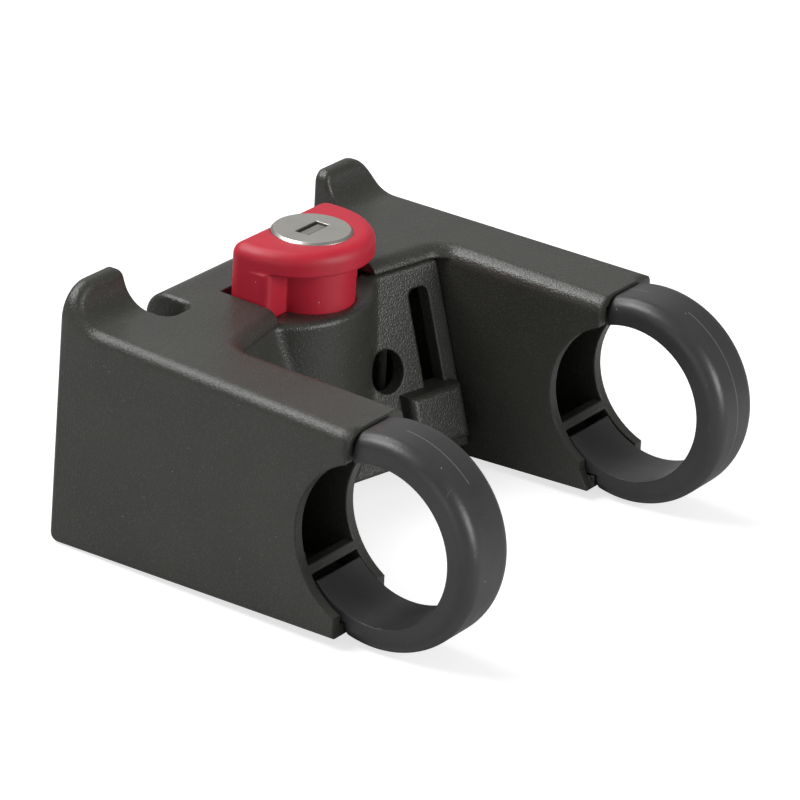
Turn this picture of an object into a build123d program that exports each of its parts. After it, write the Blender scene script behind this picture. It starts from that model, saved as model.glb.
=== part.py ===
from build123d import *
import os

# Bicycle handlebar bag mount. Millimetres.
# The origin is on the handlebar's axis, midway between the two clamps.
# +X is the rider's right, +Y is forward to the bag, +Z is up.

# Handlebar and clamp rings
BAR_RADIUS = 15.9
SADDLE_GAP = 0.5
RING_SIDE_GAP = 0.375
RING_OFFSET = 0.075
RING_WALL = 5.2
RING_EDGE = 3.0
RING_END = 5.3
RING_FOOT_FRONT = 12.2
RING_FOOT_TOP = -10.6
RING_TRAVEL = 6.0
TAIL_INSET = 1.95
TAIL_THICKNESS = 4.6
TAIL_GAP = 0.3
INSERT_RADIUS = 3.5
INSERT_LENGTH = 10.0
INSERT_COVER = 1.0

# Body walls and arms
WALL = 2.25
ARM_INNER = 33.0
ARM_OUTER = 51.75
ARM_SPREAD = 0.043
ARM_DRAFT = 0.04
ARM_REAR = 5.8
TOP_DROP = 0.2
TOP_RISE = 2.3
BOTTOM_LIFT = 1.7
BOTTOM_FALL = 2.0
FRONT = 73.5
OUTER_FILLET = 1.8
FRONT_FILLET = 1.0
INNER_FILLET = 3.2
FOOT_FILLET = 1.8
INNER_TIP_REAR = 8.0
CENTRE_SETBACK = 2.0
CENTRE_FILLET = 5.0
RIB_TOP = -8.0
RIB_THICKNESS = 1.4
RIB_SETBACK = 0.1
BULKHEAD_REAR = 44.0
BULKHEAD = 3.0

# Top plate, bag hooks and notches
PLATE = 2.2
PLATE_REAR_ARM = 42.8
PLATE_REAR_MIDDLE = 46.3
PLATE_CORNER = 4.0
HOOK_HEIGHT = 6.8
HOOK_THICKNESS = 3.2
HOOK_OVERHANG = 0.6
HOOK_HOLLOW = 6.6
HOOK_OUTER_CORNER = 6.5
HOOK_INNER_CORNER = 2.6
HOOK_CORNER_LIFT = 0.1
NOTCH_WIDTH = 7.9
NOTCH_REAR = 60.0
NOTCH_DEPTH = 9.2
NOTCH_CORNER = 2.5
NOTCH_RIM = 1.0
NOTCH_WALL = 2.2

# Push button
BUTTON_Y = 50.8
BUTTON_STEM_RADIUS = 8.9
BUTTON_HEIGHT = 9.8
LIP_THICKNESS = 4.6
LIP_RADIUS = 15.5
LIP_REAR = 39.3
LIP_FILLET = 2.4
FRONT_CORNER = 2.8
BLOCK_CORNER = 1.5
BLOCK_REAR = 49.7
BLOCK_FRONT = 59.2
BLOCK_DEPTH = 17.7
BUTTON_TRAVEL = 6.0
BUTTON_GAP = 0.08
SLOT_SIDE_GAP = 0.35
SLOT_FRONT_GAP = 1.0
EAR_REACH = 2.6
EAR_HEIGHT = 3.0
EAR_LENGTH = 5.0
STOP_GAP = 0.3

# Lock
LOCK_FACE_RADIUS = 7.9
LOCK_FACE_PROUD = 0.45
LOCK_FACE_THICKNESS = 2.0
CASE_RADIUS = 7.0
CASE_DEPTH = 16.6
PLUG_RADIUS = 5.0
LOCK_GAP = 0.05
KEYWAY_LENGTH = 7.0
KEYWAY_WIDTH = 3.2
SHUTTER_SINK = 0.4
SHUTTER_GAP = 0.35
SHUTTER_THICKNESS = 0.8
WAFERS = 4
WAFER_THICKNESS = 1.0
WAFER_WIDTH = 6.0
WAFER_PITCH = 2.6
WAFER_RIM = 1.0
CASE_END = 1.0
CLIP_RADIUS = 6.3
CLIP_GROOVE = 4.1
CLIP_THICKNESS = 0.8
CAM_THICKNESS = 2.0
CAM_REACH = 8.4
CAM_REST = -135.0
CAM_CLEARANCE = 0.4
CAM_WIDTH = 6.4
CAM_HUB = 4.2
TAIL_SQUARE = 4.6
CAM_SCREW_RADIUS = 1.4
CAM_SCREW_HEAD = 3.0
CAM_SCREW_SLOT = 0.8

# Button housing
HOUSING_DROP = 3.8
HOUSING_BOTTOM = -17.4
TOWER_Y = 60.1
TOWER_RADIUS = 20.5
TOWER_WALL = 3.0
TOWER_RIM = 1.4
TOWER_BLEND = 3.0
COLLAR = 4.2
WING = 2.5
WING_GAP = 0.35
WING_Y = 45.05242
WING_LEAN = 0.2807
WING_SLANT = 0.206
FLOOR = 2.4
CABLE_HOLE_RADIUS = 4.3
CABLE_HOLE_X = 15.4
CABLE_HOLE_Z = 1.1
SLOT_SETBACK = 6.4
SLOT_WIDTH = 5.2
SLOT_DROP = 4.4
LUG_INNER = 17.3
LUG_SETBACK = 2.0
LUG_TOP = -4.0
LUG_BOTTOM = -15.0
LUG_PROUD = 3.0
LUG_FILLET = 1.5

# Latch
LATCH_HALF_WIDTH = 7.4
NOSE_HALF_WIDTH = 5.6
NOSE_REACH = 3.0
LATCH_TOP = 1.7
LATCH_HEIGHT = 7.4
LATCH_REAR = 52.0
LATCH_BAR = 2.2
LATCH_GAP = 0.3
FOOT_HALF_WIDTH = 3.6
FOOT_TIP = 1.0
FOOT_FLAT = 1.0
RAIL = 1.5
SPRING_SEAT = 44.5

# Springs
BUTTON_SPRING_X = 11.8
BUTTON_SPRING_RADIUS = 2.0
BUTTON_SPRING_WIRE = 0.4
BUTTON_SPRING_TURNS = 8
BUTTON_SPRING_POCKET = 3.0
LATCH_SPRING_RADIUS = 2.2
LATCH_SPRING_WIRE = 0.35
LATCH_SPRING_TURNS = 6
LATCH_SPRING_POCKET = 4.0
SPRING_CLEARANCE = 0.4

# Fasteners
SCREW_RADIUS = 2.5
SCREW_LENGTH = 27.0
SCREW_HEAD_RADIUS = 4.25
SCREW_HEAD_HEIGHT = 5.0
SCREW_SOCKET = 4.0
SCREW_CLEARANCE = 0.3
WASHER_RADIUS = 4.6
WASHER_THICKNESS = 1.0
ACCESS_RADIUS = 5.6
POST_X = 24.0
POST_Y = 52.5
POST_RADIUS = 3.6
POST_SCREW_RADIUS = 1.5
POST_SCREW_LENGTH = 12.0
POST_SCREW_HEAD_RADIUS = 3.0
POST_SCREW_HEAD_HEIGHT = 2.2

# Worked out from the driving dimensions; FAR, NEAR and OVER serve cuts and edge searches
FAR = 200.0
NEAR = 0.01
OVER = 1.0
RING_RADIUS = BAR_RADIUS + RING_WALL
RING_X = (ARM_INNER + ARM_OUTER) / 2 - RING_OFFSET
RING_WIDTH = ARM_OUTER - ARM_INNER - 2 * (WALL + RING_SIDE_GAP)
TAIL_WIDTH = RING_WIDTH - 2 * TAIL_INSET
TOP_REAR = RING_RADIUS - TOP_DROP
TOP_FRONT = TOP_REAR + TOP_RISE
BOTTOM_REAR = BOTTOM_LIFT - RING_RADIUS
BOTTOM_FRONT = BOTTOM_REAR - BOTTOM_FALL
RIB_FRONT = BAR_RADIUS - RIB_SETBACK
HOOK_TOP = TOP_FRONT + HOOK_HEIGHT
HOOK_INNER = ARM_INNER - HOOK_OVERHANG
NOTCH_INNER = HOOK_INNER - NOTCH_WIDTH
NOTCH_FLOOR = TOP_FRONT - NOTCH_DEPTH
BUTTON_TOP = TOP_FRONT + BUTTON_HEIGHT
BLOCK_BOTTOM = BUTTON_TOP - BLOCK_DEPTH
CASE_BOTTOM = BUTTON_TOP - CASE_DEPTH
HOUSING_TOP = TOP_FRONT - HOUSING_DROP
SLOT_X = ARM_INNER - SLOT_SETBACK
SLOT_TOP = HOUSING_TOP - SLOT_DROP
LUG_OUTER = ARM_INNER - LUG_SETBACK
CAVITY_INNER = ARM_INNER + WALL
BLOCK_HALF = LIP_RADIUS
SPRING_Y = (BLOCK_REAR + BLOCK_FRONT) / 2
SLOT_HALF = BLOCK_HALF + SLOT_SIDE_GAP
LIP_BOTTOM = BUTTON_TOP - LIP_THICKNESS
TAIL_TOP = TOP_REAR - WALL - TAIL_GAP
TAIL_BOTTOM = BOTTOM_REAR + WALL + TAIL_GAP
BOSS_HEIGHT = 2 * (INSERT_RADIUS + INSERT_COVER)
BOSS_FRONT = BULKHEAD_REAR - RING_TRAVEL - 2 * INSERT_COVER
BOSS_REAR = BOSS_FRONT - INSERT_LENGTH
SCREW_HEIGHTS = (TAIL_TOP - BOSS_HEIGHT / 2, TAIL_BOTTOM + BOSS_HEIGHT / 2)
SCREW_SEAT = BULKHEAD_REAR + BULKHEAD + WASHER_THICKNESS
FLOOR_TOP = HOUSING_BOTTOM + FLOOR
CAP_BOTTOM = HOUSING_TOP - COLLAR
WAY_REAR = BLOCK_REAR - LATCH_GAP
LATCH_BOTTOM = LATCH_TOP - LATCH_HEIGHT
LATCH_AXIS_Z = (LATCH_TOP + LATCH_BOTTOM) / 2
WEDGE = BLOCK_FRONT - FOOT_FLAT + FOOT_TIP
CENTRE_FRONT = FRONT - CENTRE_SETBACK
CHAMBER_FRONT = CENTRE_FRONT - WALL
HOOK_REAR = FRONT - HOOK_THICKNESS
CLIP_TOP = CASE_BOTTOM - LOCK_GAP
CAM_TOP = CLIP_TOP - 2 * CLIP_THICKNESS
CAM_BOTTOM = CAM_TOP - CAM_THICKNESS
LOCK_FACE_TOP = BUTTON_TOP + LOCK_FACE_PROUD
LOCK_FACE_BOTTOM = LOCK_FACE_TOP - LOCK_FACE_THICKNESS


def arm_outer(y, z=0.0, inset=0.0):
    """X of the right arm's outer face, which spreads to the rear and tapers upward."""
    return ARM_OUTER - ARM_SPREAD * (y - ARM_REAR) - ARM_DRAFT * z - inset


def top_z(y, inset=0.0):
    """Height of the body's top at y."""
    share = (y - ARM_REAR) / (FRONT - ARM_REAR)
    return TOP_REAR + (TOP_FRONT - TOP_REAR) * share - inset


def bottom_z(y, inset=0.0):
    """Height of the body's underside at y."""
    share = (y - ARM_REAR) / (FRONT - ARM_REAR)
    return BOTTOM_REAR + (BOTTOM_FRONT - BOTTOM_REAR) * share + inset


def block(x, y, z):
    """Box from three (low, high) spans."""
    middle = Pos((x[0] + x[1]) / 2, (y[0] + y[1]) / 2, (z[0] + z[1]) / 2)
    return middle * Box(x[1] - x[0], y[1] - y[0], z[1] - z[0])


def prism_x(points, x_low, x_high):
    """Side-view outline of (y, z) points carried from one X to another."""
    face = make_face(Polyline(*points, close=True))
    return extrude(Plane.YZ.offset(x_low) * face, amount=x_high - x_low)


def prism_z(points, z_low, z_high):
    """Plan outline of (x, y) points carried from one Z to another."""
    face = make_face(Polyline(*points, close=True))
    return extrude(Plane.XY.offset(z_low) * face, amount=z_high - z_low)


def rod_x(y, z, radius, x_low, x_high):
    return extrude(Plane.YZ.offset(x_low) * Pos(y, z) * Circle(radius), amount=x_high - x_low)


def rod_y(x, z, radius, y_low, y_high):
    plane = Plane((x, y_low, z), x_dir=(1, 0, 0), z_dir=(0, 1, 0))
    return extrude(plane * Circle(radius), amount=y_high - y_low)


def rod_z(x, y, radius, z_low, z_high):
    return extrude(Plane.XY.offset(z_low) * Pos(x, y) * Circle(radius), amount=z_high - z_low)


def mirrored(solid):
    """The same solid on the other side of the middle."""
    return mirror(solid, about=Plane.YZ)


def both_sides(solid):
    return solid + mirrored(solid)


def near(value, target):
    return abs(value - target) < NEAR


def edges_near(solid, test):
    """Edges whose middle point passes the test."""
    return [edge for edge in solid.edges() if test(edge @ 0.5, edge)]


def outside_arm(inset=0.0):
    """Everything beyond the right arm's outer face, or beyond a plane inset from it."""
    normal = Vector(1, ARM_SPREAD, ARM_DRAFT).normalized()
    start = Vector(arm_outer(ARM_REAR), ARM_REAR, 0) - normal * inset
    return extrude(Plane(start, z_dir=normal) * Rectangle(2 * FAR, 2 * FAR), amount=FAR)


def hook_corner():
    """What rounds off the right hook's inner top corner, lifted so that it cuts the top cleanly."""
    x, z = HOOK_INNER + HOOK_INNER_CORNER, HOOK_TOP - HOOK_INNER_CORNER + HOOK_CORNER_LIFT
    corner = block((HOOK_INNER - OVER, x), (0, FAR), (z, HOOK_TOP + OVER))
    return corner - rod_y(x, z, HOOK_INNER_CORNER, 0, FAR)


def outer_form():
    """Side profile with the hooks carried across the full width, tapered and rounded."""
    hook_foot = top_z(HOOK_REAR)
    side = [
        (ARM_REAR, BOTTOM_REAR), (FRONT, BOTTOM_FRONT), (FRONT, HOOK_TOP),
        (HOOK_REAR, HOOK_TOP), (HOOK_REAR, hook_foot), (ARM_REAR, TOP_REAR),
    ]
    form = prism_x(side, -FAR / 2, FAR / 2)
    hollow = edges_near(form, lambda p, e: near(p.Y, HOOK_REAR) and near(p.Z, hook_foot))
    form = fillet(hollow, HOOK_HOLLOW)
    foot = edges_near(form, lambda p, e: near(p.Y, FRONT) and near(p.Z, BOTTOM_FRONT))
    form = fillet(foot, FOOT_FILLET)
    form -= both_sides(outside_arm())
    hook_ends = edges_near(form, lambda p, e: HOOK_REAR < p.Y < FRONT and near(p.Z, HOOK_TOP))
    form = fillet(hook_ends, HOOK_OUTER_CORNER)
    long = FRONT / 2
    top_sides = edges_near(form, lambda p, e: p.Z > TOP_REAR and p.Y < HOOK_REAR and e.length > long)
    form = fillet(top_sides, OUTER_FILLET)
    low_sides = edges_near(form, lambda p, e: p.Z < BOTTOM_REAR and abs(p.X) > ARM_INNER and e.length > long)
    return fillet(low_sides, FRONT_FILLET)


def body_blank():
    """Outer form with the middle lowered between the hooks and the gap for stem and button."""
    blank = outer_form()
    above = [(-FAR, top_z(-FAR)), (FAR, top_z(FAR)), (FAR, FAR), (-FAR, FAR)]
    blank -= prism_x(above, -HOOK_INNER, HOOK_INNER)
    blank -= both_sides(hook_corner())
    right = [
        (SLOT_HALF, BLOCK_FRONT + SLOT_FRONT_GAP), (SLOT_HALF, PLATE_REAR_MIDDLE),
        (ARM_INNER, PLATE_REAR_ARM), (ARM_INNER, -FAR),
    ]
    gap = prism_z(right + [(-x, y) for x, y in reversed(right)], -FAR, FAR)
    corners = edges_near(gap, lambda p, e: near(abs(p.X), ARM_INNER) and near(p.Y, PLATE_REAR_ARM))
    blank -= fillet(corners, PLATE_CORNER)

    def inner_top(point, edge):
        along_arm = near(abs(point.X), ARM_INNER) and edge.length > BUTTON_TRAVEL
        along_plate = SLOT_HALF < abs(point.X) < ARM_INNER - NEAR and point.Y < PLATE_REAR_MIDDLE + NEAR
        return point.Z > TOP_REAR - NEAR and (along_arm or along_plate)

    return fillet(edges_near(blank, inner_top), INNER_FILLET)


def arm_cavity(y_low, y_high):
    """Hollow inside the right arm between two Y places."""
    low, high = bottom_z(y_low, WALL), bottom_z(y_high, WALL)
    side = [(y_low, low), (y_high, high), (y_high, top_z(y_high, WALL)), (y_low, top_z(y_low, WALL))]
    return prism_x(side, CAVITY_INNER, FAR / 2) - outside_arm(WALL)


def notch(margin, y_high, z_high):
    """Notch beside the right hook, grown by a margin to the sides, the rear and below."""
    x = (NOTCH_INNER - margin, HOOK_INNER + margin / 2)
    y_low = NOTCH_REAR - margin
    space = block(x, (y_low, y_high), (NOTCH_FLOOR - margin, z_high))
    rear_corners = edges_near(space, lambda p, e: near(p.Y, y_low) and (near(p.X, x[0]) or near(p.X, x[1])))
    return fillet(rear_corners, NOTCH_CORNER + margin)


def screw_post():
    """Post under the top plate that the housing screw bites into, on the right."""
    post = rod_z(POST_X, POST_Y, POST_RADIUS, FLOOR_TOP, top_z(POST_Y, PLATE / 2))
    return post - rod_z(POST_X, POST_Y, POST_SCREW_RADIUS, -FAR, HOUSING_BOTTOM + POST_SCREW_LENGTH)


def round_notches(body):
    """Rounds the top edges at the rear of the notches."""

    def on_rim(point, edge):
        inside = NOTCH_INNER + NOTCH_CORNER < abs(point.X) < HOOK_INNER - NOTCH_CORNER
        return inside and near(point.Y, NOTCH_REAR) and point.Z > TOP_REAR

    return fillet(edges_near(body, on_rim), NOTCH_RIM)


def inner_tip():
    """What sets back the lower rear end of the right arm's inner wall."""
    side = [
        (-FAR, 0), (INNER_TIP_REAR, 0), (INNER_TIP_REAR, -BAR_RADIUS),
        (ARM_REAR, BOTTOM_REAR), (-FAR, BOTTOM_REAR),
    ]
    return prism_x(side, 0, CAVITY_INNER)


def make_body():
    body = body_blank()
    body -= block((-HOOK_INNER, HOOK_INNER), (CENTRE_FRONT, FAR), (-FAR, FAR))
    centre_top = edges_near(body, lambda p, e: near(p.X, 0) and near(p.Y, CENTRE_FRONT) and p.Z > 0)
    body = fillet(centre_top, CENTRE_FILLET)
    roof_front = top_z(CHAMBER_FRONT, PLATE)
    roof = [(-FAR, -FAR), (CHAMBER_FRONT, -FAR), (CHAMBER_FRONT, roof_front), (-FAR, top_z(-FAR, PLATE))]
    body -= prism_x(roof, -ARM_INNER, ARM_INNER)
    body += both_sides(notch(NOTCH_WALL, CENTRE_FRONT - WALL / 2, TOP_REAR) + screw_post())
    body -= both_sides(notch(0, FAR, FAR))
    body = round_notches(body)
    body -= both_sides(arm_cavity(-FAR, BULKHEAD_REAR))
    body -= both_sides(arm_cavity(BULKHEAD_REAR + BULKHEAD, FRONT - WALL))
    body -= both_sides(inner_tip())
    rib_x = (ARM_INNER + WALL / 2, arm_outer(BAR_RADIUS, RIB_TOP, WALL / 2))
    rib = block(rib_x, (INNER_TIP_REAR, RIB_FRONT), (RIB_TOP - RIB_THICKNESS, RIB_TOP))
    body += both_sides(rib)
    # The saddle is a little wider than the bar and meets it at the front
    body -= rod_x(-SADDLE_GAP, 0, BAR_RADIUS + SADDLE_GAP, -FAR, FAR)
    for z in SCREW_HEIGHTS:
        shank = rod_y(RING_X, z, SCREW_RADIUS + SCREW_CLEARANCE, BULKHEAD_REAR - OVER, SCREW_SEAT)
        access = rod_y(RING_X, z, ACCESS_RADIUS, SCREW_SEAT, FAR)
        body -= both_sides(shank + access)
    window_x = NOSE_HALF_WIDTH + LATCH_GAP
    window_z = (LATCH_BOTTOM - LATCH_GAP, LATCH_TOP + LATCH_GAP)
    return body - block((-window_x, window_x), (CHAMBER_FRONT - OVER, FAR), window_z)


def wing_y(x, z):
    """Y of the right wing's rear face at x and z, measured from the middle at the bar's height."""
    return WING_Y - WING_SLANT * x + WING_LEAN * z


def wing_plane(shift=0.0):
    """Plane of the right wing's rear face, looking to the rear, moved rearward by shift."""
    normal = Vector(-WING_SLANT, -1, WING_LEAN).normalized()
    start = Vector(0, wing_y(0, 0), 0) + normal * shift
    return Plane(start, x_dir=Vector(1, -WING_SLANT, 0), z_dir=normal)


def wing_slab(front, rear):
    """Slab along the right wing, from front behind its face to rear in front of it."""
    return extrude(wing_plane(-front) * Rectangle(FAR, FAR), amount=front + rear)


def tower(inset):
    """Upright half-round tower, its radius reduced by inset."""
    round_part = rod_z(0, TOWER_Y, TOWER_RADIUS - inset, HOUSING_BOTTOM, HOUSING_TOP)
    return round_part & block((-FAR, FAR), (-FAR, WAY_REAR), (-FAR, FAR))


def housing_skin():
    """Tower blended into the two leaning wings, not yet hollow."""
    side = ARM_INNER - WING_GAP
    wing = wing_slab(WING, 0) & block((0, side), (0, FAR), (HOUSING_BOTTOM, HOUSING_TOP))
    skin = tower(0) + both_sides(wing)

    def on_tower(point):
        return near((Vector(point.X, point.Y) - Vector(0, TOWER_Y)).length, TOWER_RADIUS)

    def on_wing(point):
        return near(point.Y, wing_y(abs(point.X), point.Z))

    skin = fillet(edges_near(skin, lambda p, e: on_tower(p) and on_wing(p)), TOWER_BLEND)
    rim = edges_near(skin, lambda p, e: on_tower(p) and near(p.Z, HOUSING_TOP))
    return fillet(rim, TOWER_RIM)


def latch_rails():
    """Shelf and cheek that guide the latch bolt, on the right of the housing's floor."""
    y = (LATCH_REAR - BUTTON_TRAVEL, CHAMBER_FRONT - LATCH_BAR)
    cheek_x = LATCH_HALF_WIDTH + LATCH_GAP
    shelf = block((NOSE_HALF_WIDTH + LATCH_GAP, cheek_x), y, (FLOOR_TOP, LATCH_BOTTOM - LATCH_GAP))
    cheek = block((cheek_x, cheek_x + RAIL), y, (FLOOR_TOP, LATCH_TOP))
    return shelf + cheek


def make_housing():
    side = ARM_INNER - WING_GAP
    front = CHAMBER_FRONT - LATCH_GAP
    floor = block((0, side), (0, front), (HOUSING_BOTTOM, FLOOR_TOP)) - wing_slab(0, FAR)
    lug = wing_slab(WING, LUG_PROUD) & block((LUG_INNER, LUG_OUTER), (0, FAR), (LUG_BOTTOM, LUG_TOP))
    lug = fillet(edges_near(lug, lambda p, e: p.Y < wing_y(p.X, p.Z) - LUG_PROUD / 2), LUG_FILLET)
    slot_x = (SLOT_X - SLOT_WIDTH / 2, SLOT_X + SLOT_WIDTH / 2)
    slot = block(slot_x, (0, POST_Y - POST_RADIUS), (LUG_TOP - WING, SLOT_TOP))
    slot_top = edges_near(slot, lambda p, e: near(p.Z, SLOT_TOP) and e.length > POST_Y / 2)
    slot = fillet(slot_top, SLOT_WIDTH / 3)
    inside_z = (FLOOR_TOP, CAP_BOTTOM)
    hollow = wing_slab(FAR, -WING) & block((0, FAR), (0, WAY_REAR), inside_z)
    hollow += tower(TOWER_WALL) & block((0, FAR), (0, FAR), inside_z)
    stem = rod_z(0, BUTTON_Y, BUTTON_STEM_RADIUS + BUTTON_GAP, FLOOR_TOP, FAR)
    way_half = BLOCK_HALF + BUTTON_GAP
    block_way = block((-way_half, way_half), (WAY_REAR, FAR), (FLOOR_TOP, FAR))
    housing = housing_skin() - both_sides(slot)
    housing += both_sides(lug + floor)
    housing -= both_sides(hollow) + stem + block_way
    seat_x = (-NOSE_HALF_WIDTH, NOSE_HALF_WIDTH)
    seat = block(seat_x, (SPRING_SEAT - RAIL, SPRING_SEAT), (FLOOR_TOP, LATCH_TOP))
    housing += both_sides(latch_rails()) + seat
    housing -= both_sides(rod_y(CABLE_HOLE_X, CABLE_HOLE_Z, CABLE_HOLE_RADIUS, 0, BLOCK_REAR))
    return housing - both_sides(rod_z(POST_X, POST_Y, POST_SCREW_RADIUS + SCREW_CLEARANCE, -FAR, FLOOR_TOP))


def lip_face():
    """D-shaped outline of the button's lip, flat to the front."""
    centre = LIP_REAR + LIP_RADIUS
    arc = CenterArc((0, centre), LIP_RADIUS, 180, 180)
    right_front, left_front = (LIP_RADIUS, BLOCK_FRONT), (-LIP_RADIUS, BLOCK_FRONT)
    rest = Polyline((LIP_RADIUS, centre), right_front, left_front, (-LIP_RADIUS, centre))
    return make_face(Curve() + [arc, rest])


def uprights(solid, y):
    """The button's upright corner edges at y."""
    return edges_near(solid, lambda p, e: near(abs(p.X), BLOCK_HALF) and near(p.Y, y))


def make_button():
    lip = extrude(Plane.XY.offset(LIP_BOTTOM) * lip_face(), amount=LIP_THICKNESS)
    front_block = block((-BLOCK_HALF, BLOCK_HALF), (BLOCK_REAR, BLOCK_FRONT), (BLOCK_BOTTOM, LIP_BOTTOM))
    lip = fillet(uprights(lip, BLOCK_FRONT), FRONT_CORNER)
    lip = fillet(edges_near(lip, lambda p, e: near(p.Z, BUTTON_TOP)), LIP_FILLET)
    front_block = fillet(uprights(front_block, BLOCK_FRONT), FRONT_CORNER)
    front_block = fillet(uprights(front_block, BLOCK_REAR), BLOCK_CORNER)
    stem = rod_z(0, BUTTON_Y, BUTTON_STEM_RADIUS, BLOCK_BOTTOM, LIP_BOTTOM)
    stem &= block((-FAR, FAR), (-FAR, BLOCK_FRONT), (-FAR, FAR))
    ear_top = top_z(BLOCK_REAR, PLATE) - STOP_GAP
    ear_x = (BLOCK_HALF - EAR_REACH, BLOCK_HALF + EAR_REACH)
    ear = block(ear_x, (BLOCK_FRONT - EAR_LENGTH, BLOCK_FRONT), (ear_top - EAR_HEIGHT, ear_top))
    wedge = [
        (BLOCK_FRONT, FOOT_TIP), (BLOCK_FRONT, BLOCK_BOTTOM), (WEDGE - BLOCK_BOTTOM, BLOCK_BOTTOM),
        (BLOCK_FRONT - FOOT_FLAT, FOOT_TIP),
    ]
    foot = prism_x(wedge, -FOOT_HALF_WIDTH, FOOT_HALF_WIDTH)
    foot &= block((-FAR, FAR), (BUTTON_Y + CAM_HUB + CAM_CLEARANCE, FAR), (-FAR, FAR))
    button = lip + front_block + stem + both_sides(ear) + foot
    button -= rod_z(0, BUTTON_Y, CASE_RADIUS + LOCK_GAP, BLOCK_BOTTOM, LOCK_FACE_BOTTOM)
    button -= rod_z(0, BUTTON_Y, LOCK_FACE_RADIUS + LOCK_GAP, LOCK_FACE_BOTTOM - LOCK_GAP, FAR)
    pocket_radius = BUTTON_SPRING_RADIUS + BUTTON_SPRING_WIRE + SPRING_CLEARANCE
    pocket_top = BLOCK_BOTTOM + BUTTON_SPRING_POCKET
    return button - both_sides(rod_z(BUTTON_SPRING_X, SPRING_Y, pocket_radius, -FAR, pocket_top))


def coil(radius, wire, length, turns):
    """Helical spring along +Z from the origin, its ends flush with the length."""
    pitch = (length - 2 * wire) / turns
    path = Pos(0, 0, wire) * Helix(pitch, length - 2 * wire, radius)
    start = Plane(path @ 0, z_dir=path % 0)
    return sweep(start * Circle(wire), path, is_frenet=True)


def make_button_springs():
    length = BLOCK_BOTTOM + BUTTON_SPRING_POCKET - FLOOR_TOP
    spring = coil(BUTTON_SPRING_RADIUS, BUTTON_SPRING_WIRE, length, BUTTON_SPRING_TURNS)
    return [Pos(side * BUTTON_SPRING_X, SPRING_Y, FLOOR_TOP) * spring for side in (-1, 1)]


def make_latch():
    front = CHAMBER_FRONT - LATCH_GAP
    pocket_front = front - LATCH_BAR
    slope = WEDGE - LATCH_GAP
    z = (LATCH_BOTTOM, LATCH_TOP)
    bolt = block((-LATCH_HALF_WIDTH, LATCH_HALF_WIDTH), (LATCH_REAR, front), z)
    above, below = LATCH_TOP + OVER, LATCH_BOTTOM - OVER
    pocket = [(slope - above, above), (pocket_front, above), (pocket_front, below), (slope - below, below)]
    bolt -= prism_x(pocket, -FOOT_HALF_WIDTH - LATCH_GAP, FOOT_HALF_WIDTH + LATCH_GAP)
    tip = CENTRE_FRONT + NOSE_REACH
    nose = [
        (pocket_front, LATCH_BOTTOM), (tip, LATCH_BOTTOM), (tip, LATCH_AXIS_Z),
        (tip - NOSE_REACH, LATCH_TOP), (pocket_front, LATCH_TOP),
    ]
    bolt += prism_x(nose, -NOSE_HALF_WIDTH, NOSE_HALF_WIDTH)
    pocket_radius = LATCH_SPRING_RADIUS + LATCH_SPRING_WIRE + SPRING_CLEARANCE
    return bolt - rod_y(0, LATCH_AXIS_Z, pocket_radius, 0, LATCH_REAR + LATCH_SPRING_POCKET)


def make_latch_spring():
    length = LATCH_REAR + LATCH_SPRING_POCKET - SPRING_SEAT
    spring = coil(LATCH_SPRING_RADIUS, LATCH_SPRING_WIRE, length, LATCH_SPRING_TURNS)
    return Pos(0, SPRING_SEAT, LATCH_AXIS_Z) * Rot(-90, 0, 0) * spring


def keyway(length, width, z_low, z_high):
    return block((-length / 2, length / 2), (BUTTON_Y - width / 2, BUTTON_Y + width / 2), (z_low, z_high))


def make_lock_case():
    case = rod_z(0, BUTTON_Y, CASE_RADIUS, CASE_BOTTOM, LOCK_FACE_BOTTOM - LOCK_GAP)
    case -= rod_z(0, BUTTON_Y, PLUG_RADIUS + LOCK_GAP, -FAR, FAR)
    groove = (PLUG_RADIUS + CASE_RADIUS) / 2
    width = WAFER_WIDTH + 2 * LOCK_GAP
    return case - keyway(2 * groove, width, CASE_BOTTOM + CASE_END, LOCK_FACE_BOTTOM - CASE_END)


def wafer_levels():
    """Lower face of each wafer, evenly spaced down the plug."""
    first = LOCK_FACE_BOTTOM - 2 * WAFER_PITCH
    return [first - WAFER_PITCH * index for index in range(WAFERS)]


def make_plug():
    face = rod_z(0, BUTTON_Y, LOCK_FACE_RADIUS, LOCK_FACE_BOTTOM, LOCK_FACE_TOP)
    rim = edges_near(face, lambda p, e: p.Z > BUTTON_TOP)
    face = chamfer(rim, LOCK_FACE_PROUD)
    plug = face + rod_z(0, BUTTON_Y, PLUG_RADIUS, CASE_BOTTOM - LOCK_GAP, LOCK_FACE_BOTTOM)
    plug += rod_z(0, BUTTON_Y, CLIP_GROOVE, CAM_TOP, CASE_BOTTOM)
    half = TAIL_SQUARE / 2
    plug += block((-half, half), (BUTTON_Y - half, BUTTON_Y + half), (CAM_BOTTOM, CAM_TOP))
    plug -= keyway(KEYWAY_LENGTH, KEYWAY_WIDTH, wafer_levels()[-1] - WAFER_THICKNESS, FAR)
    for level in wafer_levels():
        plug -= keyway(FAR, WAFER_WIDTH, level, level + WAFER_THICKNESS)
    return plug - rod_z(0, BUTTON_Y, CAM_SCREW_RADIUS, -FAR, CASE_BOTTOM)


def make_shutter():
    """Dust shutter just inside the keyway."""
    top = LOCK_FACE_TOP - SHUTTER_SINK
    return keyway(KEYWAY_LENGTH - 2 * LOCK_GAP, KEYWAY_WIDTH - 2 * SHUTTER_GAP, top - SHUTTER_THICKNESS, top)


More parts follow.
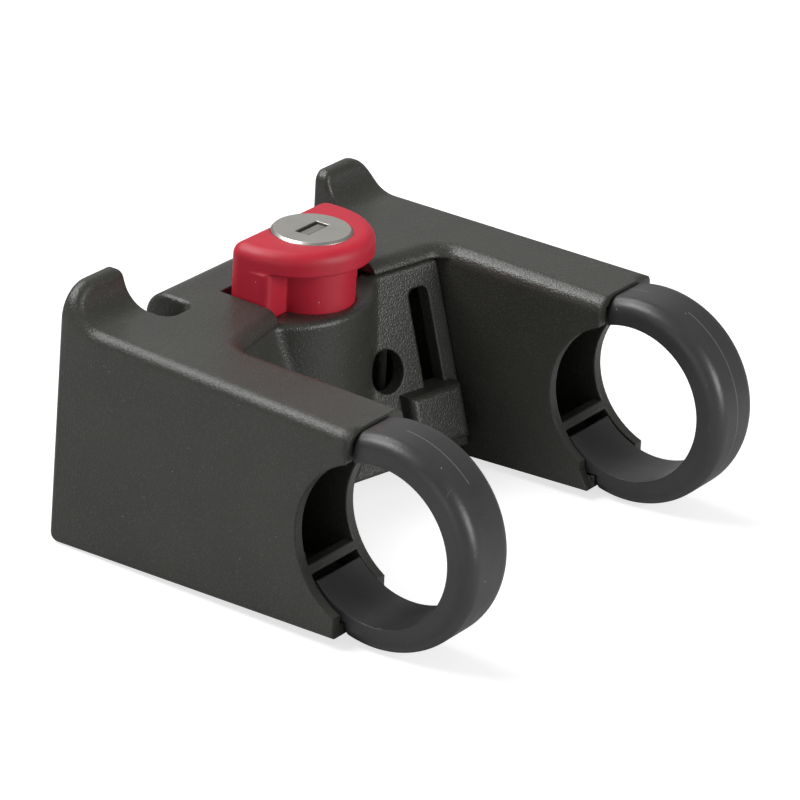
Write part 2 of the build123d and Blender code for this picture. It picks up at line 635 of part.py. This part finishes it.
def make_wafers():
    reach = rod_z(0, BUTTON_Y, PLUG_RADIUS - LOCK_GAP, -FAR, FAR)
    wafers = []
    for level in wafer_levels():
        blank = keyway(FAR, WAFER_WIDTH - 2 * LOCK_GAP, level + LOCK_GAP, level + WAFER_THICKNESS - LOCK_GAP)
        window = keyway(KEYWAY_LENGTH - 2 * WAFER_RIM, KEYWAY_WIDTH - WAFER_RIM, -FAR, FAR)
        wafers.append((blank & reach) - window)
    return wafers


def make_plug_clip():
    clip = rod_z(0, BUTTON_Y, CLIP_RADIUS, CLIP_TOP - CLIP_THICKNESS, CLIP_TOP)
    clip -= rod_z(0, BUTTON_Y, CLIP_GROOVE, -FAR, FAR)
    mouth = CLIP_GROOVE - CLIP_THICKNESS
    return clip - block((-mouth, mouth), (BUTTON_Y - FAR, BUTTON_Y), (-FAR, FAR))


def make_cam():
    half_width = CAM_WIDTH / 2
    tip_x = CAM_REACH - half_width
    arm = block((0, tip_x), (-half_width, half_width), (CAM_BOTTOM, CAM_TOP))
    arm += rod_z(tip_x, 0, half_width, CAM_BOTTOM, CAM_TOP)
    cam = Rot(0, 0, CAM_REST) * arm + rod_z(0, 0, CAM_HUB, CAM_BOTTOM, CAM_TOP)
    half = TAIL_SQUARE / 2
    cam -= block((-half, half), (-half, half), (-FAR, FAR))
    return Pos(0, BUTTON_Y, 0) * cam


def make_cam_screw():
    head = rod_z(0, BUTTON_Y, CAM_SCREW_HEAD, CAM_BOTTOM - CAM_THICKNESS, CAM_BOTTOM)
    slot = keyway(FAR, CAM_SCREW_SLOT, -FAR, CAM_BOTTOM - CAM_THICKNESS / 2)
    return head - slot + rod_z(0, BUTTON_Y, CAM_SCREW_RADIUS, CAM_BOTTOM, CASE_BOTTOM)


def make_clamp_ring():
    """Right-hand strap: a rounded ring round the bar with two tails that run into the arm."""
    low, high = RING_X - RING_WIDTH / 2, RING_X + RING_WIDTH / 2
    ring = rod_x(0, 0, RING_RADIUS, low, high)
    ring = fillet(ring.edges().filter_by(GeomType.CIRCLE), RING_EDGE)
    ring -= block((0, FAR), (RING_END, FAR), (-FAR, FAR))
    foot = block((low, high), (0, RING_FOOT_FRONT), (TAIL_BOTTOM, RING_FOOT_TOP))
    x = (RING_X - TAIL_WIDTH / 2, RING_X + TAIL_WIDTH / 2)
    y = (0, BOSS_FRONT)
    top = block(x, y, (TAIL_TOP - TAIL_THICKNESS, TAIL_TOP))
    top += block(x, (BOSS_REAR, BOSS_FRONT), (TAIL_TOP - BOSS_HEIGHT, TAIL_TOP))
    bottom = block(x, y, (TAIL_BOTTOM, TAIL_BOTTOM + TAIL_THICKNESS))
    bottom += block(x, (BOSS_REAR, BOSS_FRONT), (TAIL_BOTTOM, TAIL_BOTTOM + BOSS_HEIGHT))
    strap = ring + foot + top + bottom - rod_x(0, 0, BAR_RADIUS, 0, FAR)
    bore_rear = BOSS_REAR - RING_TRAVEL - 2 * INSERT_COVER
    for z in SCREW_HEIGHTS:
        strap -= rod_y(RING_X, z, INSERT_RADIUS, BOSS_REAR, FAR)
        strap -= rod_y(RING_X, z, SCREW_RADIUS + SCREW_CLEARANCE, bore_rear, FAR)
    return strap


def make_clamp_inserts():
    inserts = []
    for z in SCREW_HEIGHTS:
        bush = rod_y(RING_X, z, INSERT_RADIUS, BOSS_REAR, BOSS_FRONT)
        inserts.append(bush - rod_y(RING_X, z, SCREW_RADIUS + LOCK_GAP, 0, FAR))
    return inserts


def make_clamp_screws():
    screws = []
    for z in SCREW_HEIGHTS:
        head = rod_y(RING_X, z, SCREW_HEAD_RADIUS, SCREW_SEAT, SCREW_SEAT + SCREW_HEAD_HEIGHT)
        socket_start = (RING_X, SCREW_SEAT + SCREW_HEAD_HEIGHT / 2, z)
        socket = Plane(socket_start, x_dir=(1, 0, 0), z_dir=(0, 1, 0))
        hexagon = RegularPolygon(SCREW_SOCKET / 2, 6, major_radius=False)
        head -= extrude(socket * hexagon, amount=SCREW_HEAD_HEIGHT)
        screws.append(head + rod_y(RING_X, z, SCREW_RADIUS, SCREW_SEAT - SCREW_LENGTH, SCREW_SEAT))
    return screws


def make_clamp_washers():
    washers = []
    for z in SCREW_HEIGHTS:
        disc = rod_y(RING_X, z, WASHER_RADIUS, SCREW_SEAT - WASHER_THICKNESS, SCREW_SEAT)
        washers.append(disc - rod_y(RING_X, z, SCREW_RADIUS + SCREW_CLEARANCE, 0, FAR))
    return washers


def make_housing_screws():
    head_bottom = HOUSING_BOTTOM - POST_SCREW_HEAD_HEIGHT
    screw = rod_z(POST_X, POST_Y, POST_SCREW_HEAD_RADIUS, head_bottom, HOUSING_BOTTOM)
    screw += rod_z(POST_X, POST_Y, POST_SCREW_RADIUS, HOUSING_BOTTOM, HOUSING_BOTTOM + POST_SCREW_LENGTH)
    return [screw, mirrored(screw)]


def write(name, solids):
    """One file for each named piece; like pieces share a file as separate solids."""
    shape = Compound(children=solids) if isinstance(solids, list) else solids
    export_step(shape, f"parts/{name}.step")


def main():
    os.makedirs("parts", exist_ok=True)
    write("body", make_body())
    write("button_housing", make_housing())
    write("housing_screws", make_housing_screws())
    write("push_button", make_button())
    write("button_springs", make_button_springs())
    write("lock_case", make_lock_case())
    write("lock_plug", make_plug())
    write("lock_shutter", make_shutter())
    write("lock_wafers", make_wafers())
    write("plug_clip", make_plug_clip())
    write("lock_cam", make_cam())
    write("cam_screw", make_cam_screw())
    write("latch_bolt", make_latch())
    write("latch_spring", make_latch_spring())
    pairs = {
        "clamp_ring": [make_clamp_ring()],
        "clamp_inserts": make_clamp_inserts(),
        "clamp_screws": make_clamp_screws(),
        "clamp_washers": make_clamp_washers(),
    }
    for name, solids in pairs.items():
        write(f"{name}_right", solids)
        write(f"{name}_left", [mirrored(solid) for solid in solids])


main()
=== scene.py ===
import math

import bpy
from mathutils import Matrix, Vector


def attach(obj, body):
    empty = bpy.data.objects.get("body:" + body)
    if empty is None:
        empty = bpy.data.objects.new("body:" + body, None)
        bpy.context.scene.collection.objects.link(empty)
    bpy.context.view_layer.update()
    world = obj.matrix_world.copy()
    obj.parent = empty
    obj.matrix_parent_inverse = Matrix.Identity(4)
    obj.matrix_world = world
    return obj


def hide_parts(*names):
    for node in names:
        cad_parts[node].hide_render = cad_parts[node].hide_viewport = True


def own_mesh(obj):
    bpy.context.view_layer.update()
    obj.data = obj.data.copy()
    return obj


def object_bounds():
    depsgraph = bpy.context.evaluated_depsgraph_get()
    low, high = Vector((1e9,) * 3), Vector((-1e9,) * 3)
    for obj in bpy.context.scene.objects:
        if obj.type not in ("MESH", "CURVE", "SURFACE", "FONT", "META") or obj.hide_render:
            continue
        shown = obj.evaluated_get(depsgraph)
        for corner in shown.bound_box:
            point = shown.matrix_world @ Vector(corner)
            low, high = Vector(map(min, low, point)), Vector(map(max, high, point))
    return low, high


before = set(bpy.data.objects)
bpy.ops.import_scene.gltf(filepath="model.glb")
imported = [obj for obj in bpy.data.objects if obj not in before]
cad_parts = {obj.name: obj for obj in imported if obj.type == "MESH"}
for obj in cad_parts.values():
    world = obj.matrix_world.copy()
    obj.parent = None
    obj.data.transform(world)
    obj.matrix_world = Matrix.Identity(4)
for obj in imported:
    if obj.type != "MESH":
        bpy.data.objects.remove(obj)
CAD_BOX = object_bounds()

# Camera: where the photographer stood, in metres and degrees
CAMERA_AIM = Vector((-0.00064, 0.02821, 0.00458))
CAMERA_AZIMUTH = -146.471
CAMERA_ELEVATION = 23.657
CAMERA_ROLL = 3.189
CAMERA_DISTANCE = 0.92606
CAMERA_LENS = 219.73
CAMERA_CLIP = 0.05

# Floor: just under the lowest point of the rings
FLOOR_GAP = 0.0002
FLOOR_SIZE = 6.0
FLOOR_GREY = (0.5, 0.5, 0.5, 1)
FLOOR_ROUGHNESS = 0.9
FLOOR_SPECULAR = 0.1
FLOOR_GLOW = 0.72

# Light: the white surroundings, the point that all lamps face, and each lamp's place, width and power
WHITE = (1, 1, 1, 1)
WORLD_STRENGTH = 0.22
LAMP_AIM = Vector((0, 0.03, 0))
LAMPS = {
    "overhead": ((-0.5, 0.6, 1.0), 0.6, 10),
    "above": ((0.15, 0.65, 1.0), 0.7, 5.5),
    "rear": ((0.2, -1.3, 0.42), 0.8, 11.5),
    "left": ((-1.2, -0.1, 0.2), 0.7, 1.3),
    "far": ((1.0, 0.72, 0.55), 0.9, 0.5),
}

# All materials. In the lists below, a noise is its scale per metre and its detail, a bump is its depth
# in metres and its strength, dust is its cells per metre, the dots' radius in a cell and the share of
# cells that have one, a roughness is its range, and an edge is the radius that rounds it in metres.
NOISE_ROUGHNESS = 0.55
RAMP_STOPS = (0.3, 0.7)
EDGE_SAMPLES = 6

# Moulding: light fibres show on the highest part of the grain
MOULDING_BLACKS = ((0.034, 0.0342, 0.029), (0.041, 0.0412, 0.0355))
MOULDING_CLOUD = (60, 3)
MOULDING_GRAIN = (2600, 1)
MOULDING_GRAIN_BUMP = (0.0001, 1.0)
MOULDING_RIPPLE = (900, 3)
MOULDING_RIPPLE_BUMP = (0.00004, 0.4)
MOULDING_ROUGHNESS = (0.27, 0.38)
MOULDING_EDGE = 0.0006
MOULDING_DUST = (800, 0.1, 0.04)
MOULDING_DUST_GREY = (0.2, 0.2, 0.19)
FIBRE_GREY = (0.075, 0.075, 0.068)
FIBRE_LEVEL = 0.62
FIBRE_BLEND = 0.5

# Arms: beyond this far out and this high, the moulding's outer top edges are rounded more softly
ARM_EDGE = 0.003
ARM_EDGE_X = 0.0455
ARM_EDGE_Z = 0.0155
ARM_EDGE_FADE = 0.002

# Straps: the parting line runs round the outer face at the middle of the strap's width
STRAP_X = 0.0423
STRAP_OUTER = 0.0204
STRAP_BLACKS = ((0.034, 0.034, 0.035), (0.044, 0.044, 0.045))
STRAP_CLOUD = (80, 3)
STRAP_HANDLING = (300, 4)
STRAP_ROUGHNESS = (0.28, 0.44)
STRAP_GRAIN = (1800, 3)
STRAP_GRAIN_BUMP = (0.00005, 0.6)
STRAP_EDGE = 0.0004
STRAP_DUST = (700, 0.1, 0.05)
STRAP_DUST_GREY = (0.28, 0.28, 0.28)
PARTING_HALF = 0.00009
PARTING_BUMP = (0.00006, 1.0)
PARTING_GREY = (0.16, 0.16, 0.16)
PARTING_WEAR = (55, 1)
PARTING_WEAR_LEVEL = 0.48
SCRATCH_NOISE = (300, 2)
SCRATCH_STRETCH = (1, 9, 1)
SCRATCH_LEVEL = 0.72
SCRATCH_BLEND = 0.35
SCRATCH_GREY = (0.11, 0.11, 0.11)

# Button
BUTTON_REDS = ((0.46, 0.01, 0.028), (0.52, 0.013, 0.035))
BUTTON_CLOUD = (120, 3)
BUTTON_RIPPLE = (700, 3)
BUTTON_ROUGHNESS = (0.42, 0.55)
BUTTON_GRAIN = (3000, 2)
BUTTON_GRAIN_BUMP = (0.00003, 0.5)
BUTTON_EDGE = 0.0007
BUTTON_DUST = (650, 0.1, 0.06)
BUTTON_DUST_PINK = (0.75, 0.4, 0.4)

# Lock face
NICKEL_TONES = ((0.56, 0.55, 0.51), (0.62, 0.61, 0.57))
NICKEL_CLOUD = (200, 3)
NICKEL_RIPPLE = (1500, 4)
NICKEL_ROUGHNESS = (0.3, 0.42)
NICKEL_GRAIN = (5000, 2)
NICKEL_GRAIN_BUMP = (0.00001, 0.5)
NICKEL_EDGE = 0.0002

# Lock shutter: middle and half sizes of its face, for the painted shade of the gap around it
SHUTTER_Y = 0.0508
SHUTTER_HALF = (0.0031, 0.0009)
SHUTTER_TONES = ((0.34, 0.33, 0.3), (0.44, 0.43, 0.4))
SHUTTER_CLOUD = (400, 3)
SHUTTER_ROUGHNESS = 0.45
# Painted shade: black painted on the shutter's border in place of the shadow in the gap round it
SHUTTER_PAINTED_GAP_SHADE = (0.03, 0.028, 0.025)

# Plain metals
STEEL_TONES = ((0.45, 0.45, 0.44), (0.55, 0.55, 0.54))
STEEL_ROUGHNESS = (0.3, 0.42)
BRASS_TONES = ((0.6, 0.45, 0.2), (0.7, 0.54, 0.26))
BRASS_ROUGHNESS = (0.28, 0.4)
METAL_CLOUD = (200, 3)
METAL_RIPPLE = (1200, 3)
METAL_GRAIN = (4000, 2)
METAL_GRAIN_BUMP = (0.00001, 0.5)
METAL_EDGE = 0.00015

# Springs: the axis each lies along, its fixed end and the share of its length left with the button down
SPRINGS = {
    "button_springs": ((0, 0, 1), (0, 0, -0.015), 0.819),
    "latch_spring": ((0, 1, 0), (0, 0.0445, 0), 0.477),
}

# Which nodes wear which material
MOULDED = ["body", "button_housing"]
STRAPS = ["clamp_ring_left", "clamp_ring_right"]
SMOOTH_BLACK = ["latch_bolt"]
RED = ["push_button"]
NICKEL = ["lock_plug"]
SHUTTER = ["lock_shutter"]
STEEL = [
    "housing_screws", "button_springs", "plug_clip", "lock_cam", "cam_screw", "latch_spring",
    "clamp_screws_left", "clamp_screws_right", "clamp_washers_left", "clamp_washers_right",
]
BRASS = ["lock_case", "lock_wafers", "clamp_inserts_left", "clamp_inserts_right"]


class Nodes:
    """Short way to add and join shader nodes in one material."""

    def __init__(self, name):
        self.material = bpy.data.materials.new(name)
        self.material.use_nodes = True
        self.tree = self.material.node_tree
        self.shader = self.tree.nodes["Principled BSDF"]
        self.place = self.add("ShaderNodeTexCoord").outputs["Object"]

    def add(self, kind, **settings):
        node = self.tree.nodes.new(kind)
        for key, value in settings.items():
            setattr(node, key, value)
        return node

    def link(self, source, target):
        self.tree.links.new(source, target)

    def feed(self, value, socket):
        """Joins an output to a socket, or sets the socket to a plain number."""
        if isinstance(value, (int, float)):
            socket.default_value = value
        else:
            self.link(value, socket)

    def put(self, name, value):
        """Sets one of the shader's own inputs to a plain value."""
        self.shader.inputs[name].default_value = value

    def wire(self, name, output):
        """Joins an output to one of the shader's own inputs."""
        self.link(output, self.shader.inputs[name])

    def math(self, operation, first, second=0.0):
        node = self.add("ShaderNodeMath", operation=operation)
        self.feed(first, node.inputs[0])
        self.feed(second, node.inputs[1])
        return node.outputs["Value"]

    def noise(self, scale, detail, stretch=None):
        node = self.add("ShaderNodeTexNoise")
        node.inputs["Scale"].default_value = scale
        node.inputs["Detail"].default_value = detail
        node.inputs["Roughness"].default_value = NOISE_ROUGHNESS
        place = self.place
        if stretch is not None:
            mapping = self.add("ShaderNodeMapping")
            mapping.inputs["Scale"].default_value = stretch
            self.link(place, mapping.inputs["Vector"])
            place = mapping.outputs["Vector"]
        self.link(place, node.inputs["Vector"])
        return node.outputs["Fac"]

    def specks(self, scale, radius, share):
        """Mask of small scattered dots: radius in parts of a cell, share of the cells that have one."""
        cells = self.add("ShaderNodeTexVoronoi")
        cells.inputs["Scale"].default_value = scale
        self.link(self.place, cells.inputs["Vector"])
        chance = self.add("ShaderNodeSeparateColor")
        self.link(cells.outputs["Color"], chance.inputs["Color"])
        dot = self.math("LESS_THAN", cells.outputs["Distance"], radius)
        return self.math("MULTIPLY", dot, self.math("LESS_THAN", chance.outputs["Red"], share))

    def ramp(self, factor, colours):
        """Goes from the first colour to the second as the factor rises."""
        node = self.add("ShaderNodeValToRGB")
        for element, position, colour in zip(node.color_ramp.elements, RAMP_STOPS, colours):
            element.position = position
            element.color = (*colour, 1)
        self.link(factor, node.inputs["Fac"])
        return node.outputs["Color"]

    def blend(self, factor, first, colour):
        """First colour where the factor is 0, the given plain colour where it is 1."""
        node = self.add("ShaderNodeMix", data_type="RGBA")
        self.link(factor, node.inputs["Factor"])
        self.link(first, node.inputs["A"])
        node.inputs["B"].default_value = (*colour, 1)
        return node.outputs["Result"]

    def spread(self, factor, low, high):
        """Maps a 0 to 1 factor to a range of numbers."""
        node = self.add("ShaderNodeMapRange")
        node.inputs["To Min"].default_value = low
        node.inputs["To Max"].default_value = high
        self.link(factor, node.inputs["Value"])
        return node.outputs["Result"]

    def bump(self, height, distance, strength, base):
        """Bumps on top of the base normal."""
        node = self.add("ShaderNodeBump")
        node.inputs["Distance"].default_value = distance
        node.inputs["Strength"].default_value = strength
        self.link(height, node.inputs["Height"])
        self.link(base, node.inputs["Normal"])
        return node.outputs["Normal"]

    def round_edges(self, radius):
        node = self.add("ShaderNodeBevel", samples=EDGE_SAMPLES)
        node.inputs["Radius"].default_value = radius
        return node.outputs["Normal"]

    def axes(self):
        node = self.add("ShaderNodeSeparateXYZ")
        self.link(self.place, node.inputs["Vector"])
        return node.outputs

    def beyond(self, value, start, fade):
        """Rises from 0 to 1 while the value goes from start to start plus fade."""
        node = self.add("ShaderNodeMapRange", interpolation_type="SMOOTHSTEP")
        node.inputs["From Min"].default_value = start
        node.inputs["From Max"].default_value = start + fade
        self.link(value, node.inputs["Value"])
        return node.outputs["Result"]

    def blend_normals(self, factor, first, second):
        """First normal where the factor is 0, the second where it is 1."""
        node = self.add("ShaderNodeMix", data_type="VECTOR")
        self.link(factor, node.inputs["Factor"])
        self.link(first, node.inputs["A"])
        self.link(second, node.inputs["B"])
        return node.outputs["Result"]


def moulded_black():
    """Glass-filled nylon with a spark-eroded grain and a few specks of dust."""
    n = Nodes("moulded_black")
    grain = n.noise(*MOULDING_GRAIN)
    fibres = n.math("MULTIPLY", n.math("GREATER_THAN", grain, FIBRE_LEVEL), FIBRE_BLEND)
    base = n.ramp(n.noise(*MOULDING_CLOUD), MOULDING_BLACKS)
    base = n.blend(fibres, base, FIBRE_GREY)
    base = n.blend(n.specks(*MOULDING_DUST), base, MOULDING_DUST_GREY)
    n.wire("Base Color", base)
    ripple = n.noise(*MOULDING_RIPPLE)
    n.wire("Roughness", n.spread(ripple, *MOULDING_ROUGHNESS))
    x, _, z = n.axes()
    far_out = n.beyond(n.math("ABSOLUTE", x), ARM_EDGE_X, ARM_EDGE_FADE)
    high_up = n.beyond(z, ARM_EDGE_Z, ARM_EDGE_FADE)
    outer_edge = n.math("MULTIPLY", far_out, high_up)
    edges = n.blend_normals(outer_edge, n.round_edges(MOULDING_EDGE), n.round_edges(ARM_EDGE))
    coarse = n.bump(ripple, *MOULDING_RIPPLE_BUMP, edges)
    n.wire("Normal", n.bump(grain, *MOULDING_GRAIN_BUMP, coarse))
    return n.material


def parting_line(n):
    """Mask of the thin line that the two mould halves leave round a strap."""
    x, y, z = n.axes()
    radius = n.math("SQRT", n.math("ADD", n.math("MULTIPLY", y, y), n.math("MULTIPLY", z, z)))
    off_middle = n.math("ABSOLUTE", n.math("SUBTRACT", n.math("ABSOLUTE", x), STRAP_X))
    on_outside = n.math("GREATER_THAN", radius, STRAP_OUTER)
    return n.math("MULTIPLY", n.math("LESS_THAN", off_middle, PARTING_HALF), on_outside)


def strap_black():
    """Smooth satin nylon with a parting line, faint scratches and handling marks."""
    n = Nodes("strap_black")
    line = parting_line(n)
    worn = n.math("GREATER_THAN", n.noise(*PARTING_WEAR), PARTING_WEAR_LEVEL)
    scratch = n.math("GREATER_THAN", n.noise(*SCRATCH_NOISE, SCRATCH_STRETCH), SCRATCH_LEVEL)
    base = n.ramp(n.noise(*STRAP_CLOUD), STRAP_BLACKS)
    base = n.blend(n.math("MULTIPLY", line, worn), base, PARTING_GREY)
    base = n.blend(n.math("MULTIPLY", scratch, SCRATCH_BLEND), base, SCRATCH_GREY)
    base = n.blend(n.specks(*STRAP_DUST), base, STRAP_DUST_GREY)
    n.wire("Base Color", base)
    n.wire("Roughness", n.spread(n.noise(*STRAP_HANDLING), *STRAP_ROUGHNESS))
    fine = n.bump(n.noise(*STRAP_GRAIN), *STRAP_GRAIN_BUMP, n.round_edges(STRAP_EDGE))
    n.wire("Normal", n.bump(n.math("SUBTRACT", 1.0, line), *PARTING_BUMP, fine))
    return n.material


def button_red():
    """Matt red moulding."""
    n = Nodes("button_red")
    base = n.ramp(n.noise(*BUTTON_CLOUD), BUTTON_REDS)
    n.wire("Base Color", n.blend(n.specks(*BUTTON_DUST), base, BUTTON_DUST_PINK))
    n.wire("Roughness", n.spread(n.noise(*BUTTON_RIPPLE), *BUTTON_ROUGHNESS))
    n.wire("Normal", n.bump(n.noise(*BUTTON_GRAIN), *BUTTON_GRAIN_BUMP, n.round_edges(BUTTON_EDGE)))
    return n.material


def lock_nickel():
    """Satin nickel plate with a fine uneven surface."""
    n = Nodes("lock_nickel")
    n.put("Metallic", 1.0)
    n.wire("Base Color", n.ramp(n.noise(*NICKEL_CLOUD), NICKEL_TONES))
    n.wire("Roughness", n.spread(n.noise(*NICKEL_RIPPLE), *NICKEL_ROUGHNESS))
    n.wire("Normal", n.bump(n.noise(*NICKEL_GRAIN), *NICKEL_GRAIN_BUMP, n.round_edges(NICKEL_EDGE)))
    return n.material


def shutter_nickel():
    """Dull plate of the lock's shutter, with painted shade along the border of its face for the shadow
    in the gap round it.
    """
    n = Nodes("shutter_nickel")
    n.put("Metallic", 1.0)
    n.put("Roughness", SHUTTER_ROUGHNESS)
    x, y, _ = n.axes()
    half_length, half_width = SHUTTER_HALF
    # Painted shade: outside these half sizes the shutter's face is painted black for the shadow in the
    # gap round it
    along = n.math("GREATER_THAN", n.math("ABSOLUTE", x), half_length)
    across = n.math("GREATER_THAN", n.math("ABSOLUTE", n.math("SUBTRACT", y, SHUTTER_Y)), half_width)
    base = n.ramp(n.noise(*SHUTTER_CLOUD), SHUTTER_TONES)
    n.wire("Base Color", n.blend(n.math("MAXIMUM", along, across), base, SHUTTER_PAINTED_GAP_SHADE))
    return n.material


def metal(name, tones, roughness):
    """Plain plated or machined metal."""
    n = Nodes(name)
    n.put("Metallic", 1.0)
    n.wire("Base Color", n.ramp(n.noise(*METAL_CLOUD), tones))
    n.wire("Roughness", n.spread(n.noise(*METAL_RIPPLE), *roughness))
    n.wire("Normal", n.bump(n.noise(*METAL_GRAIN), *METAL_GRAIN_BUMP, n.round_edges(METAL_EDGE)))
    return n.material


def dress(nodes, material):
    for name in nodes:
        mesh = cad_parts[name].data
        mesh.materials.clear()
        mesh.materials.append(material)


def dress_all():
    dress(MOULDED, moulded_black())
    dress(STRAPS + SMOOTH_BLACK, strap_black())
    dress(RED, button_red())
    dress(NICKEL, lock_nickel())
    dress(SHUTTER, shutter_nickel())
    dress(STEEL, metal("zinc_steel", STEEL_TONES, STEEL_ROUGHNESS))
    dress(BRASS, metal("machined_brass", BRASS_TONES, BRASS_ROUGHNESS))


def add_springs():
    """Copies of the springs, attached to the bracket in place of the hidden originals."""
    for name, (axis, anchor, share) in SPRINGS.items():
        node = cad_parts[name]
        coil = bpy.data.objects.new(f"{name}_coils", node.data.copy())
        coil.matrix_world = node.matrix_world.copy()
        bpy.context.scene.collection.objects.link(coil)
        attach(coil, "bracket")
        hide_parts(name)
        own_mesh(coil)


def add_camera():
    azimuth = math.radians(CAMERA_AZIMUTH)
    elevation = math.radians(CAMERA_ELEVATION)
    flat = math.cos(elevation)
    back = Vector((flat * math.cos(azimuth), flat * math.sin(azimuth), math.sin(elevation)))
    right = Vector((-math.sin(azimuth), math.cos(azimuth), 0))
    turn = Matrix((right, back.cross(right), back)).transposed()
    turn = turn @ Matrix.Rotation(math.radians(CAMERA_ROLL), 3, "Z")
    camera = bpy.data.objects.new("camera", bpy.data.cameras.new("camera"))
    camera.matrix_world = Matrix.Translation(CAMERA_AIM + back * CAMERA_DISTANCE) @ turn.to_4x4()
    camera.data.lens = CAMERA_LENS
    camera.data.clip_start = CAMERA_CLIP
    bpy.context.scene.collection.objects.link(camera)
    bpy.context.scene.camera = camera


def floor_material():
    """Matt grey that glows to the camera only, so that it looks white with a soft shadow."""
    n = Nodes("pale_floor")
    n.put("Base Color", FLOOR_GREY)
    n.put("Roughness", FLOOR_ROUGHNESS)
    n.put("Specular IOR Level", FLOOR_SPECULAR)
    n.put("Emission Color", WHITE)
    rays = n.add("ShaderNodeLightPath").outputs
    n.wire("Emission Strength", n.math("MULTIPLY", rays["Is Camera Ray"], FLOOR_GLOW))
    return n.material


def add_floor():
    low = CAD_BOX[0][2] - FLOOR_GAP
    half = FLOOR_SIZE / 2
    mesh = bpy.data.meshes.new("floor")
    corners = [(-half, -half, low), (half, -half, low), (half, half, low), (-half, half, low)]
    mesh.from_pydata(corners, [], [(0, 1, 2, 3)])
    mesh.materials.append(floor_material())
    floor = bpy.data.objects.new("floor", mesh)
    bpy.context.scene.collection.objects.link(floor)


def add_lamp(name, place, width, power):
    lamp = bpy.data.lights.new(name, "AREA")
    lamp.shape = "DISK"
    lamp.size = width
    lamp.energy = power
    item = bpy.data.objects.new(name, lamp)
    item.location = place
    item.rotation_euler = (LAMP_AIM - Vector(place)).to_track_quat("-Z", "Y").to_euler()
    bpy.context.scene.collection.objects.link(item)


def add_light():
    world = bpy.data.worlds.new("studio")
    bpy.context.scene.world = world
    world.use_nodes = True
    background = world.node_tree.nodes["Background"]
    background.inputs["Color"].default_value = WHITE
    background.inputs["Strength"].default_value = WORLD_STRENGTH
    for name, (place, width, power) in LAMPS.items():
        add_lamp(name, place, width, power)


def main():
    dress_all()
    add_springs()
    add_camera()
    add_floor()
    add_light()
    bpy.context.scene.view_settings.view_transform = "Standard"


main()
